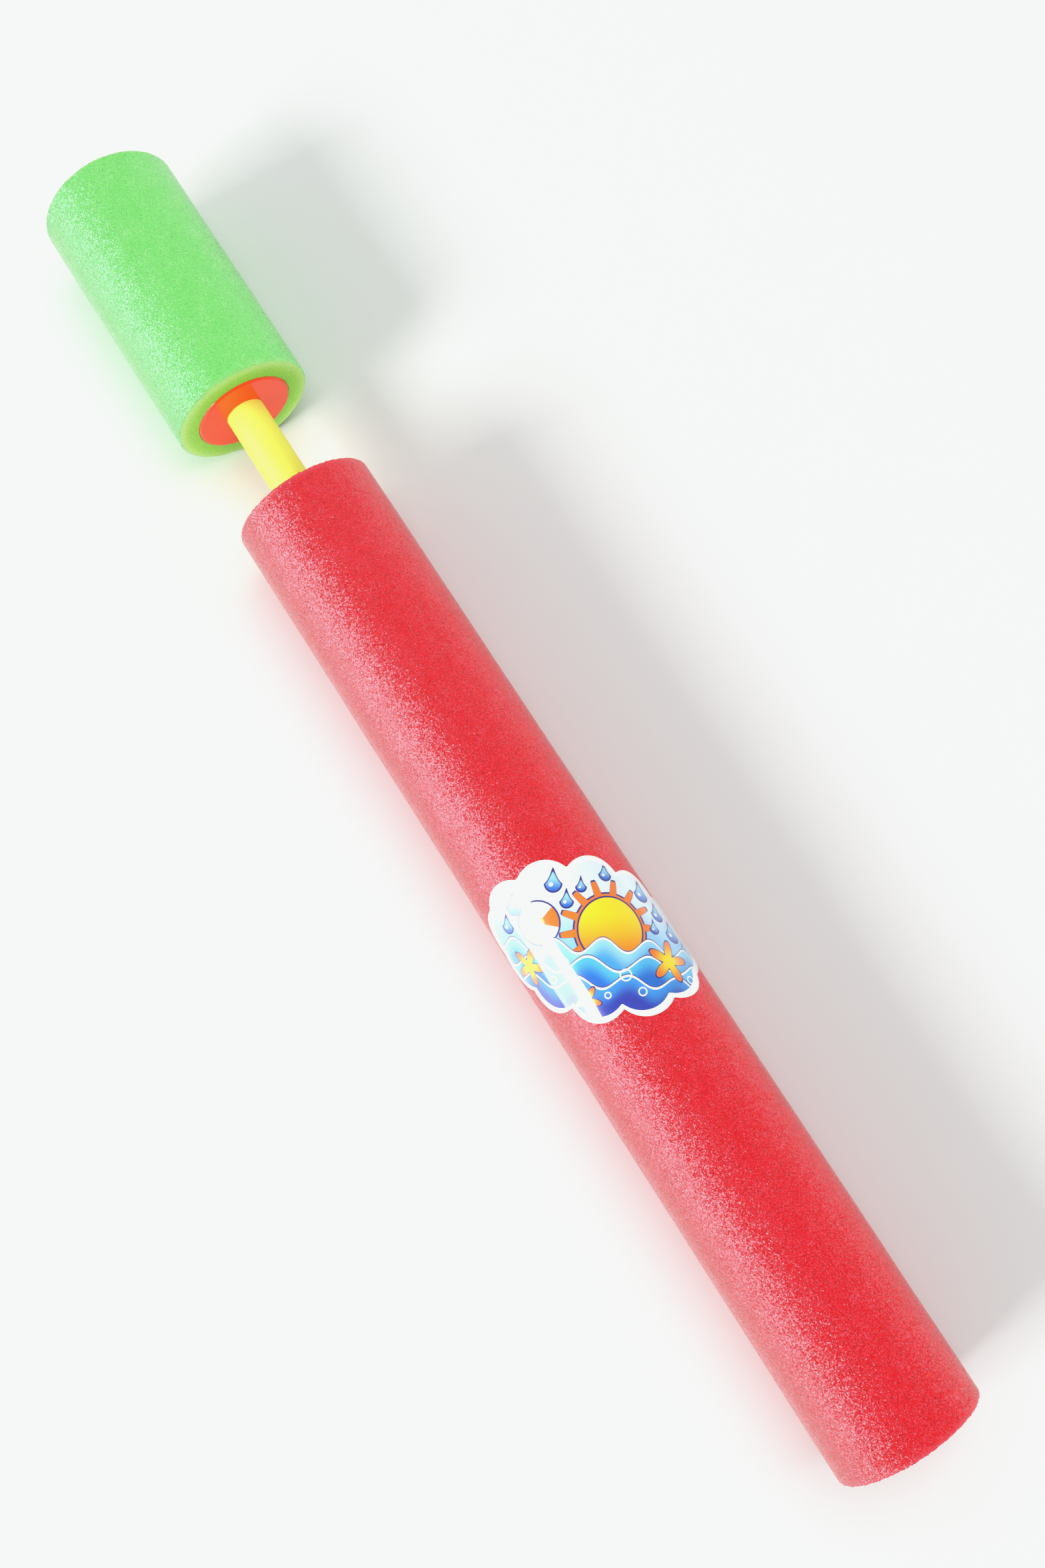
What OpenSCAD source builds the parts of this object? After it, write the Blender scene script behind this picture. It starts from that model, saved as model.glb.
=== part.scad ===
// Foam-covered water squirter. A piston on a rod draws water into the barrel and pushes it out of the jet.
// It lies on Z = 0 with the barrel's axis along X, the jet towards +X and the handle towards -X.
// Lengths are in millimetres.

/* [Foam] */
// Outside diameter of the barrel's sleeve and of the handle's grip
foam_od = 50; // [44:0.5:60]
// Length of the barrel's sleeve
sleeve_length = 352; // [300:1:420]
// Length of the handle's grip
grip_length = 96; // [80:1:130]
// Rounding of the foam's cut edges
foam_edge_r = 1.2; // [0.5:0.1:2.5]
// Clearance between the foam's bore and the tube inside it
foam_gap = 0.1; // [0.05:0.05:0.3]

/* [Tube stock] */
// Outside diameter of the tube inside the barrel and the handle
tube_od = 35; // [32:0.5:38]
// Wall of that tube
tube_wall = 1.5; // [1.2:0.1:2.2]

/* [End caps] */
// Thickness of a cap's flange
flange_t = 2.4; // [1.8:0.1:3.5]
// Rounding of a flange's rim
flange_edge_r = 0.9; // [0.3:0.1:1.5]
// How far the two caps round the rod stand out of the foam
cap_proud = 0.6; // [0:0.1:1.5]
// Length of the spigot that a cap pushes into its tube
spigot_length = 14; // [10:0.5:20]
// Wall of the spigot
spigot_wall = 2; // [1.4:0.1:2.6]
// Clearance between a spigot and the tube's bore
spigot_gap = 0.05; // [0.02:0.01:0.15]
// Chamfer that leads the spigot into its tube
spigot_lead = 0.8; // [0.3:0.1:1.2]
// Wall of the boss round the rod
boss_wall = 2; // [1.4:0.1:2.6]
// Thickness of the ribs between boss and spigot
rib_t = 1.6; // [1:0.1:2.4]
// Number of ribs in a cap
rib_count = 4; // [3:1:6]
// How far the ribs stop short of the spigot's end
rib_setback = 3; // [1:0.5:6]

/* [Rod guide] */
// Length of the guide's bearing inside the barrel
guide_length = 18; // [16:0.5:30]
// Running clearance of the rod in its guide
guide_gap = 0.1; // [0.02:0.01:0.1]
// Diameter of the air vents in the guide's flange
vent_d = 3.2; // [2:0.1:3.6]

/* [Nozzle] */
// How far the nozzle's flange lies inside the foam's end
nozzle_recess = 10; // [8:0.5:20]
// Diameter of the jet's bore
jet_d = 5; // [3:0.1:6]
// Diameter of the jet's boss where it leaves the flange
jet_base_d = 16; // [12:0.5:20]
// Diameter of the jet's boss at its tip
jet_tip_d = 9.5; // [8:0.5:12]
// Height of the jet's boss above the flange
jet_length = 7; // [5:0.5:8]
// Rounding of the jet's tip
jet_edge_r = 0.8; // [0.3:0.1:1]
// Diameter of the funnel that leads water into the jet
funnel_d = 12; // [8:0.5:14]
// Depth of that funnel
funnel_depth = 5; // [3:0.5:6]

/* [Plunger] */
// Outside diameter of the rod
rod_od = 14; // [12:0.5:16]
// Wall of the rod
rod_wall = 1.5; // [1:0.1:2]
// Clearance where the rod is fixed in a cap, the piston or on a plug
rod_fit = 0.05; // [0.02:0.01:0.15]
// Gap between handle and barrel as it lies
rest_gap = 41; // [20:1:120]
// Gap between handle and barrel when pushed right in
closed_gap = 7; // [4:1:15]
// Air left between the piston and each of its stops
stop_gap = 0.5; // [0.3:0.1:1]

/* [Piston] */
// Clearance between the piston and the tube's bore
piston_gap = 0.35; // [0.2:0.05:0.6]
// Depth of the rod's socket in the piston
piston_socket = 11.5; // [8:0.5:20]
// Thickness of the floor between the socket and the screw's recess
piston_floor = 3.5; // [2.5:0.5:6]
// Depth of the screw's recess in the piston's face
piston_recess = 5; // [4:0.5:8]
// Rounding of the piston's edges
piston_edge_r = 0.8; // [0.3:0.1:1.2]
// Thickness of the sealing rings
ring_d = 3; // [2:0.1:3.5]
// Running clearance between a sealing ring and the tube's bore
ring_gap = 0.05; // [0.02:0.01:0.1]
// Clearance of a sealing ring in its groove
groove_gap = 0.1; // [0.05:0.01:0.2]
// Land between each end of the piston and the nearer groove
groove_land = 2.6; // [2:0.1:3.5]

/* [Screws] */
// Diameter of the self-tapping screws
screw_d = 3.9; // [3:0.1:4.5]
// Length of a screw under its head
screw_length = 16; // [12:0.5:20]
// Length of a screw's point
screw_point = 3; // [2:0.5:5]
// Diameter of a screw's head
head_d = 7.6; // [6:0.1:8.5]
// Height of a screw's head
head_t = 2.6; // [1.8:0.1:3]
// Width of the cross slots in a screw's head
drive_w = 1.2; // [0.8:0.1:1.6]
// Length of the cross slots
drive_length = 4.4; // [3:0.1:5]
// Depth of the cross slots
drive_depth = 1.4; // [0.8:0.1:1.6]
// Clearance of a screw in its pilot hole
pilot_gap = 0.05; // [0.02:0.01:0.1]
// Clearance of a screw in the hole that it passes through
shank_gap = 0.25; // [0.1:0.05:0.5]
// Outside diameter of the piston's washer
washer_od = 10; // [9:0.5:12]
// Thickness of the piston's washer
washer_t = 1; // [0.6:0.1:1.4]
// Clearance round a washer or a screw's head in its recess
recess_gap = 1.2; // [0.5:0.1:2]
// Length of the plugs in the rod's ends
plug_length = 18; // [17:0.5:30]

/* [Handle end] */
// How far the rear cap lies inside the foam's end
rear_cap_recess = 1; // [0.5:0.1:4]
// Depth of the screw's well in the rear cap
well_depth = 5; // [3.5:0.5:8]
// Thickness of the well's floor
well_floor = 2.4; // [1.8:0.1:4]
// Depth of the rod's socket in the rear cap
cap_socket = 12; // [8:0.5:20]

/* [Label] */
// Distance from the barrel's rear end to the label's middle
label_from_rear = 179; // [120:1:240]
// Half width of the label's ring of lobes
label_half_width = 29.5; // [24:0.5:30]
// Half height of that ring
label_half_height = 16; // [13:0.5:20]
// Radius of the lobes in the label's outline
label_lobe_r = 10; // [8:0.5:11]
// Number of lobes
label_lobes = 12; // [12:1:16]
// Turn of the label from straight across the barrel, in degrees
label_skew = 32; // [0:1:45]
// Thickness of the label's vinyl
label_t = 0.2; // [0.1:0.05:0.4]
// Clearance under the label
label_gap = 0.05; // [0.02:0.01:0.1]

/* [Hidden] */
$fn = 96;

// Extra reach of a cut past the face that it opens
cut = 1;

// Places along X, from the jet's end back to the handle's
axis_z = foam_od / 2;
front_x = (sleeve_length + rest_gap + grip_length) / 2;
barrel_rear_x = front_x - sleeve_length;
grip_front_x = barrel_rear_x - rest_gap;
grip_rear_x = grip_front_x - grip_length;
tube_front_x = front_x - nozzle_recess - flange_t;
tube_rear_x = barrel_rear_x - cap_proud + flange_t;
core_front_x = grip_front_x + cap_proud - flange_t;
core_rear_x = grip_rear_x + rear_cap_recess + flange_t;

// Radii of the tube, the spigots, the rod and the boss round it
tube_r = tube_od / 2;
bore_r = tube_r - tube_wall;
spigot_r = bore_r - spigot_gap;
spigot_in_r = spigot_r - spigot_wall;
rod_r = rod_od / 2;
rod_in_r = rod_r - rod_wall;
boss_r = rod_r + guide_gap + boss_wall;

// Stroke of the plunger and the places of the piston and the rod's ends
push_travel = rest_gap - closed_gap;
piston_length = piston_recess + piston_floor + piston_socket;
piston_front_x = tube_front_x - spigot_length - stop_gap - push_travel;
piston_rear_x = piston_front_x - piston_length;
pull_travel = piston_rear_x - tube_rear_x - guide_length - stop_gap;
rod_front_x = piston_rear_x + piston_socket;
rod_seat = well_depth + well_floor - flange_t;
rod_rear_x = core_rear_x + rod_seat;

// Radii of the piston's grooves and holes
piston_r = bore_r - piston_gap;
ring_mid_r = bore_r - ring_gap - ring_d / 2;
groove_w = ring_d + 2 * groove_gap;
groove_r = ring_mid_r - ring_d / 2 - groove_gap;
front_ring_z = piston_length - groove_land - groove_w / 2;
rear_ring_z = groove_land + groove_w / 2;
shank_r = screw_d / 2 + shank_gap;

echo(str("The plunger pushes in by ", push_travel, " and pulls out by ", pull_travel));

// A shape drawn along Z, set on the barrel's axis at x and pointing towards the jet
module towards_jet(x) {
    translate([x, 0, axis_z]) rotate([0, 90, 0]) children();
}

// The same, pointing towards the handle
module towards_handle(x) {
    translate([x, 0, axis_z]) rotate([0, -90, 0]) children();
}

// A ring from z0 to z1, with its outer edges rounded by edge0 at z0 and by edge1 at z1
module ring(r_in, r_out, z0, z1, edge0 = 0, edge1 = 0) {
    rotate_extrude() {
        translate([r_in, z0 + edge0]) square([r_out - r_in, z1 - z0 - edge0 - edge1]);
        if (edge0 > 0) rounded_edge(r_in, r_out, z0, edge0);
        if (edge1 > 0) translate([0, z1]) mirror([0, 1]) rounded_edge(r_in, r_out, 0, edge1);
    }
}

// Half section of a ring's end, with a round outer corner
module rounded_edge(r_in, r_out, z, edge) {
    translate([r_in, z]) square([r_out - r_in - edge, 2 * edge]);
    translate([r_out - edge, z + edge]) circle(r = edge);
}

// A foam sleeve with its rear end at x
module foam_sleeve(x, length) {
    towards_jet(x) ring(tube_r + foam_gap, foam_od / 2, 0, length, foam_edge_r, foam_edge_r);
}

// A length of tube stock between two places
module stock_tube(x_from, x_to) {
    towards_jet(x_from) ring(bore_r, tube_r, 0, x_to - x_from);
}

// A cap's flange and spigot. The flange's inner face, which meets the tube's end, is at z = 0
module cap_shell() {
    ring(0, tube_r, -flange_t, 0, flange_edge_r);
    rotate_extrude() polygon([
        [spigot_in_r, -flange_t / 2],
        [spigot_r, -flange_t / 2],
        [spigot_r, spigot_length - spigot_lead],
        [spigot_r - spigot_lead, spigot_length],
        [spigot_in_r, spigot_length]
    ]);
}

// Ribs that stand on the flange and run from the boss's wall into the spigot's wall
module cap_ribs() {
    rib_from = boss_r - boss_wall / 2;
    rib_to = spigot_in_r + spigot_wall / 2;
    for (i = [0 : rib_count - 1])
        rotate([0, 0, i * 360 / rib_count])
            translate([rib_from, -rib_t / 2, -flange_t / 2])
                cube([rib_to - rib_from, rib_t, flange_t / 2 + spigot_length - rib_setback]);
}

// A cap that the rod passes through, with the given clearance and length of boss
module rod_cap(gap, boss_length) {
    difference() {
        union() {
            cap_shell();
            cap_ribs();
            ring(0, boss_r, -flange_t / 2, boss_length);
        }
        translate([0, 0, -flange_t - cut]) cylinder(r = rod_r + gap, h = flange_t + boss_length + 2 * cut);
    }
}

// A plug in the rod's end, drilled for a screw
module rod_plug(x) {
    towards_jet(x) ring(screw_d / 2 + pilot_gap, rod_in_r - rod_fit, 0, plug_length);
}

// A self-tapping screw with a pan head, its head's underside at z = 0 and its point towards +Z
module tapping_screw() {
    difference() {
        union() {
            ring(0, head_d / 2, -head_t, 0, head_t / 2);
            rotate_extrude() polygon([
                [0, -head_t / 2],
                [screw_d / 2, -head_t / 2],
                [screw_d / 2, screw_length - screw_point],
                [0, screw_length]
            ]);
        }
        for (turn = [0, 90])
            rotate([0, 0, turn])
                translate([-drive_length / 2, -drive_w / 2, -head_t - cut])
                    cube([drive_length, drive_w, drive_depth + cut]);
    }
}

// A sealing ring in the piston's groove at z
module piston_ring(z) {
    color("#26262a")
        towards_jet(piston_rear_x) rotate_extrude() translate([ring_mid_r, z]) circle(d = ring_d);
}

// A stamp through the barrel's wall, set u across the label's width and v up it from its middle
module label_stamp(u, v, r) {
    along = u * sin(label_skew) - v * cos(label_skew);
    round_it = u * cos(label_skew) + v * sin(label_skew);
    rotate([-round_it / (foam_od / 2) * 180 / PI, 0, 0])
        translate([along, 0, 0]) cylinder(r = r, h = foam_od);
}

module barrel_foam_sleeve() {
    color("#e2404e") foam_sleeve(barrel_rear_x, sleeve_length);
}

module barrel_tube() {
    color("#f1f1ec") stock_tube(tube_rear_x, tube_front_x);
}

// The jet's boss stands on the flange, inside the foam's end, and a funnel leads into its bore
module nozzle_cap() {
    tip_z = -flange_t - jet_length;
    color("#f5663f") towards_handle(tube_front_x) difference() {
        union() {
            cap_shell();
            rotate_extrude() {
                polygon([
                    [0, -flange_t / 2],
                    [jet_base_d / 2, -flange_t / 2],
                    [jet_base_d / 2, -flange_t],
                    [jet_tip_d / 2, tip_z + jet_edge_r],
                    [0, tip_z + jet_edge_r]
                ]);
                translate([0, tip_z]) square([jet_tip_d / 2 - jet_edge_r, 2 * jet_edge_r]);
                translate([jet_tip_d / 2 - jet_edge_r, tip_z + jet_edge_r]) circle(r = jet_edge_r);
            }
        }
        translate([0, 0, tip_z - cut]) cylinder(d = jet_d, h = jet_length + flange_t + 2 * cut);
        translate([0, 0, -funnel_depth]) cylinder(d1 = jet_d, d2 = funnel_d, h = funnel_depth);
    }
}

// The rod's guide, with a vent between each two ribs to let air in and out behind the piston
module rear_guide_cap() {
    vent_at = (boss_r + spigot_in_r) / 2;
    color("#f5663f") towards_jet(tube_rear_x) difference() {
        rod_cap(guide_gap, guide_length);
        for (i = [0 : rib_count - 1])
            rotate([0, 0, (i + 0.5) * 360 / rib_count])
                translate([vent_at, 0, -flange_t - cut]) cylinder(d = vent_d, h = flange_t + 2 * cut);
    }
}

// The label's outline is a ring of lobes round a plain middle
module label_sticker() {
    inner_r = foam_od / 2 + label_gap;
    reach = label_half_width + label_half_height + label_lobe_r;
    middle_shift = label_half_width - label_half_height;
    color("#f7f7f5") translate([barrel_rear_x + label_from_rear, 0, axis_z]) intersection() {
        rotate([0, 90, 0]) ring(inner_r, inner_r + label_t, -reach, reach);
        union() {
            for (turn = [0 : 360 / label_lobes : 359])
                label_stamp(label_half_width * cos(turn), label_half_height * sin(turn), label_lobe_r);
            for (side = [-1, 0, 1])
                label_stamp(side * middle_shift, 0, label_half_height);
        }
    }
}

module piston_o_ring_front() {
    piston_ring(front_ring_z);
}

module piston_o_ring_rear() {
    piston_ring(rear_ring_z);
}

module plunger_rod() {
    color("#f0ee60") towards_jet(rod_rear_x) ring(rod_in_r, rod_r, 0, rod_front_x - rod_rear_x);
}

module rod_front_plug() {
    color("#e8e8e2") rod_plug(rod_front_x - plug_length);
}

// The piston's body, with a groove for each sealing ring, the rod's socket and the screw's recess
module piston_head() {
    recess_r = washer_od / 2 + recess_gap;
    color("#f1f1ec") towards_jet(piston_rear_x) difference() {
        ring(0, piston_r, 0, piston_length, piston_edge_r, piston_edge_r);
        for (z = [rear_ring_z, front_ring_z])
            ring(groove_r, piston_r + cut, z - groove_w / 2, z + groove_w / 2);
        translate([0, 0, -cut]) cylinder(r = rod_r + rod_fit, h = piston_socket + cut);
        translate([0, 0, -cut]) cylinder(r = shank_r, h = piston_length + 2 * cut);
        translate([0, 0, piston_length - piston_recess]) cylinder(r = recess_r, h = piston_recess + cut);
    }
}

module piston_washer() {
    color("#c9cbcf") towards_jet(piston_front_x - piston_recess) ring(shank_r, washer_od / 2, 0, washer_t);
}

module piston_screw() {
    color("#b9bcc2") towards_handle(piston_front_x - piston_recess + washer_t) tapping_screw();
}

module handle_core_tube() {
    color("#f1f1ec") stock_tube(core_rear_x, core_front_x);
}

module handle_front_cap() {
    color("#f5663f") towards_handle(core_front_x) rod_cap(rod_fit, spigot_length);
}

// The handle's closed end: a well for the screw's head outside, and the rod's socket inside
module handle_rear_cap() {
    color("#f5663f") towards_jet(core_rear_x) difference() {
        union() {
            cap_shell();
            cap_ribs();
            ring(0, boss_r, -flange_t / 2, rod_seat + cap_socket);
        }
        translate([0, 0, -flange_t - cut]) cylinder(r = head_d / 2 + recess_gap, h = well_depth + cut);
        translate([0, 0, -flange_t]) cylinder(r = shank_r, h = flange_t + rod_seat + cut);
        translate([0, 0, rod_seat]) cylinder(r = rod_r + rod_fit, h = cap_socket + cut);
    }
}

module handle_foam_grip() {
    color("#86e884") foam_sleeve(grip_rear_x, grip_length);
}

module rod_rear_plug() {
    color("#e8e8e2") rod_plug(rod_rear_x);
}

module handle_screw() {
    color("#b9bcc2") towards_jet(rod_rear_x - well_floor) tapping_screw();
}

barrel_foam_sleeve();
barrel_tube();
nozzle_cap();
rear_guide_cap();
label_sticker();
piston_o_ring_front();
piston_o_ring_rear();
plunger_rod();
rod_front_plug();
piston_head();
piston_washer();
piston_screw();
handle_core_tube();
handle_front_cap();
handle_rear_cap();
handle_foam_grip();
rod_rear_plug();
handle_screw();
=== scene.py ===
# %% [markdown]
# # A foam-covered water squirter
#
# The object is a pump that a child pulls and pushes: a red foam barrel with a tube and a piston inside it,
# and a short green foam handle on a yellow rod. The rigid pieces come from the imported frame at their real
# size. This lesson adds what a drawing office leaves out: the skin and the cut ends of the foam, the printed
# label, the finish of each plastic, the light and the camera.
#
# Everything is in metres, in the frame's own axes: +X runs along the barrel to the jet, +Z is up.

# %% Load the frame and keep its box
import math

import bpy
import numpy as np
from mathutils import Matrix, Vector


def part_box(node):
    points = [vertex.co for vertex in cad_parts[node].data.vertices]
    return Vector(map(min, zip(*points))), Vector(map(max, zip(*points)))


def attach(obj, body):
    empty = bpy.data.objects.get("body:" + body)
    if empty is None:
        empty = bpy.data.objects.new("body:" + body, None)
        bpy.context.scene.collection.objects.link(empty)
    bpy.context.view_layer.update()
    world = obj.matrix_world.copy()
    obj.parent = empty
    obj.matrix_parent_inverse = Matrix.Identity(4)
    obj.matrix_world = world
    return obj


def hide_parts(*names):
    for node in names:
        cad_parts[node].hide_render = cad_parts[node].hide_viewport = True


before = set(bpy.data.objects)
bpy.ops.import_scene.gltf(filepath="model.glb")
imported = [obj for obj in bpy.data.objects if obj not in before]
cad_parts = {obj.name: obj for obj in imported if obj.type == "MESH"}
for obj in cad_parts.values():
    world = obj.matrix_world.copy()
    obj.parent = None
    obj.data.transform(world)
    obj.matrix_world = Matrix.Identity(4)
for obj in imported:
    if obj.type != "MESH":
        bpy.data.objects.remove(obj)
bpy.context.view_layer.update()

MM = 0.001
SEED = 7
barrel_low, barrel_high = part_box("barrel_foam_sleeve")
handle_low, handle_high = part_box("handle_foam_grip")
tube_low, tube_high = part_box("barrel_tube")
AXIS_Z = (barrel_low.z + barrel_high.z) / 2
FOAM_R = (barrel_high.z - barrel_low.z) / 2
TUBE_R = (tube_high.z - tube_low.z) / 2
print("nodes", len(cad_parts), "foam radius in mm", FOAM_R / MM, "axis height in mm", AXIS_Z / MM)

# %% [markdown]
# ## The camera
#
# The photographer stood over the object and looked almost straight down, a little towards the handle. A
# camera could be placed by eye, but edges seen in the picture fix it better: the eye's place, the point in
# the middle of the picture and the lens were fitted to the ends and edges of both foam sleeves. The camera
# has no roll, so aiming it is enough. The sensor's 36 mm lie along the picture's longer side.

# %% Place the camera
EYE = Vector((103.80, -46.76, 497.75)) * MM
AIM = Vector((14.88, 10.03, 25.0)) * MM
LENS_MM = 33.99
SENSOR_MM = 36.0

camera_data = bpy.data.cameras.new("camera")
camera_data.lens = LENS_MM
camera_data.sensor_width = SENSOR_MM
camera_data.clip_start = 0.01
camera = bpy.data.objects.new("camera", camera_data)
camera.location = EYE
camera.rotation_mode = "QUATERNION"
camera.rotation_quaternion = (AIM - EYE).to_track_quat("-Z", "Y")
bpy.context.scene.collection.objects.link(camera)
bpy.context.scene.camera = camera
print("camera to aim in mm", round((AIM - EYE).length / MM, 1))

# %% [markdown]
# ## Shader maths as Python sums
#
# A material's pattern is arithmetic on coordinates. Wiring Math nodes by hand hides that arithmetic, so a
# small class wraps a node's output: `1 - mask` or `u * 2 + v` then adds the nodes by itself. One method adds
# every other kind of node. Colours never pass through Math nodes, which would turn them grey.

# %% A wire that can stand in a sum


class Wire:
    """An output of a node. Operators on wires and numbers add Math nodes and give back a new wire."""

    def __init__(self, tree, socket=None):
        self.tree = tree
        self.socket = socket

    def add(self, kind, settings=None, values=None, output=0):
        """Adds a node of this kind: settings are set first, then its sockets get values or wires."""
        node = self.tree.nodes.new("ShaderNode" + kind)
        for name, value in (settings or {}).items():
            setattr(node, name, value)
        for key, value in (values or {}).items():
            if isinstance(value, Wire):
                self.tree.links.new(value.socket, node.inputs[key])
            else:
                node.inputs[key].default_value = value
        return Wire(self.tree, node.outputs[output]) if node.outputs else node

    def out(self, name):
        """Another output of the same node."""
        return Wire(self.tree, self.socket.node.outputs[name])

    def math(self, operation, first, second=0.0):
        return self.add("Math", {"operation": operation}, {0: first, 1: second})

    def __add__(self, other):
        return self.math("ADD", self, other)

    def __sub__(self, other):
        return self.math("SUBTRACT", self, other)

    def __rsub__(self, other):
        return self.math("SUBTRACT", other, self)

    def __mul__(self, other):
        return self.math("MULTIPLY", self, other)

    def __truediv__(self, other):
        return self.math("DIVIDE", self, other)

    def __pow__(self, other):
        return self.math("POWER", self, other)

    def __abs__(self):
        return self.math("ABSOLUTE", self)

    __radd__ = __add__
    __rmul__ = __mul__

    def most(self, other):
        return self.math("MAXIMUM", self, other)

    def sine(self):
        return self.math("SINE", self)

    def ramp(self, start, end):
        """A smooth step: 0 where the wire is at start or before it, 1 at end or after it."""
        values = {"Value": self, "From Min": start, "From Max": end}
        return self.add("MapRange", {"interpolation_type": "SMOOTHSTEP"}, values)

    def blend(self, colour, other):
        """A colour: the first where this wire is 0, the second where it is 1."""
        return self.add("Mix", {"data_type": "RGBA"}, {0: self, 6: colour, 7: other}, output=2)


def rgb(red, green, blue):
    """A colour as nodes take it, from display values of 0 to 255."""
    shares = np.array([red, green, blue]) / 255
    linear = np.where(shares <= 0.04045, shares / 12.92, ((shares + 0.055) / 1.055) ** 2.4)
    return (*linear.tolist(), 1.0)


def new_material(name):
    """An empty material and a wire to start its nodes from."""
    material = bpy.data.materials.new(name)
    material.use_nodes = True
    material.node_tree.nodes.clear()
    return material, Wire(material.node_tree)


def finish_material(wire, constants, **varying):
    """Ends a material in one Principled shader: constants set its sockets, varying wires are linked."""
    values = {name.replace("_", " "): value for name, value in varying.items()}
    shader = wire.add("BsdfPrincipled", None, {**constants, **values})
    wire.add("OutputMaterial", None, {"Surface": shader})


print("shader helpers ready")

# %% [markdown]
# ## Surfaces from arrays
#
# Foam sleeves, like most turned or extruded things, are a profile carried round an axis. Blender could spin a
# profile with a modifier, but then each point would be placed by Blender, and nothing could be added point by
# point. With numpy the whole surface is one array of places, so a skin of small hollows is one more sum.

# %% Put an array of points into a mesh


def ring_object(name, points):
    """A mesh over a grid of points, closed into rings both ways, with its faces pointing outwards."""
    rows, columns, _ = points.shape
    row, column = np.meshgrid(np.arange(rows), np.arange(columns), indexing="ij")
    next_row, next_column = (row + 1) % rows, (column + 1) % columns
    corners = [(row, column), (row, next_column), (next_row, next_column), (next_row, column)]
    quads = np.stack([r * columns + c for r, c in corners], axis=-1).reshape(-1, 4)
    flat = points.reshape(-1, 3)
    a, b, c, d = (flat[quads[:, i]] for i in range(4))
    middle = flat.mean(axis=0)
    volume = np.einsum("ij,ij->i", (a + b + c + d) / 4 - middle, np.cross(c - a, d - b)).sum()
    if volume < 0:
        quads = quads[:, ::-1]
    mesh = bpy.data.meshes.new(name)
    mesh.vertices.add(len(flat))
    mesh.vertices.foreach_set("co", flat.astype(np.float32).ravel())
    mesh.loops.add(quads.size)
    mesh.loops.foreach_set("vertex_index", quads.astype(np.int32).ravel())
    mesh.polygons.add(len(quads))
    mesh.polygons.foreach_set("loop_start", np.arange(0, quads.size, 4, dtype=np.int32))
    mesh.update(calc_edges=True)
    mesh.validate()
    mesh.shade_smooth()
    made = bpy.data.objects.new(name, mesh)
    bpy.context.scene.collection.objects.link(made)
    return made


def revolve(along, radius, columns):
    """Points of a profile turned about the barrel's axis: x stays, y and z go round by the radius."""
    turn = np.linspace(0, 2 * math.pi, columns, endpoint=False)
    x = np.broadcast_to(along[:, None], (len(along), columns))
    y = radius[:, None] * np.sin(turn)
    z = AXIS_Z + radius[:, None] * np.cos(turn)
    return np.stack([x, y, z], axis=-1)


print("surface helpers ready")

# %% [markdown]
# ## The foam sleeves
#
# Both sleeves are lengths of extruded polyethylene foam, cut with a blade. The extruder leaves a skin of
# closed cells well under a millimetre across, and the blade opens the cells at the ends, so the rims are
# ragged. The handle's rims are also pressed a little round. A sculptor would stamp all this in by hand. Here
# the profile is skin, rounded edge, cut, bore, cut and rounded edge, as one closed loop, and each point is
# pushed inwards along the profile's normal by a seeded random field: little on the skin, more on the cuts,
# nothing in the bore, where the tube sits. Rows crowd towards the ends, because the outline shows there, and
# at a rim each column of points is set back by its own amount.
#
# Two attributes go with each mesh for its finish: "cut" says where the blade went, and "glow" says where the
# rim is thin enough for light to come through; there the material paints a pale glow into the colour.

# %% Build the two sleeves
FOAM_GAP = 0.1 * MM
BARREL_EDGE_R = 0.6 * MM
HANDLE_EDGE_R = 1.4 * MM
SKIN_DEPTH = 0.10 * MM
CUT_DEPTH = 0.2 * MM
RAGGED_DEPTH = 0.5 * MM
RAGGED_REACH = 1.0 * MM
GLOW_REACH = 1.5 * MM
# The skin's hollows fade out where its rows lie farther apart than this
HOLLOW_STEP = 0.5 * MM
# Long shallow waves on the skin: how many are summed, their depth and how fast they turn along the axis
WAVE_COUNT = 3
WAVE_DEPTH = 0.12 * MM
WAVE_RATE = 40
BARREL_SKIN_ROWS = 170
HANDLE_SKIN_ROWS = 90
EDGE_ROWS = 6
CUT_ROWS = 12
BORE_ROWS = 8
COLUMNS = 384
CROWDING = 0.85


def skin_places(rear, front, edge_r, rows):
    """Places along the skin, crowded towards both ends: t - c sin(2 pi t) / 2 pi for even steps of t."""
    step = np.linspace(0, 1, rows)
    share = step - CROWDING * np.sin(2 * math.pi * step) / (2 * math.pi)
    return rear + edge_r + share * (front - rear - 2 * edge_r)


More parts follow.
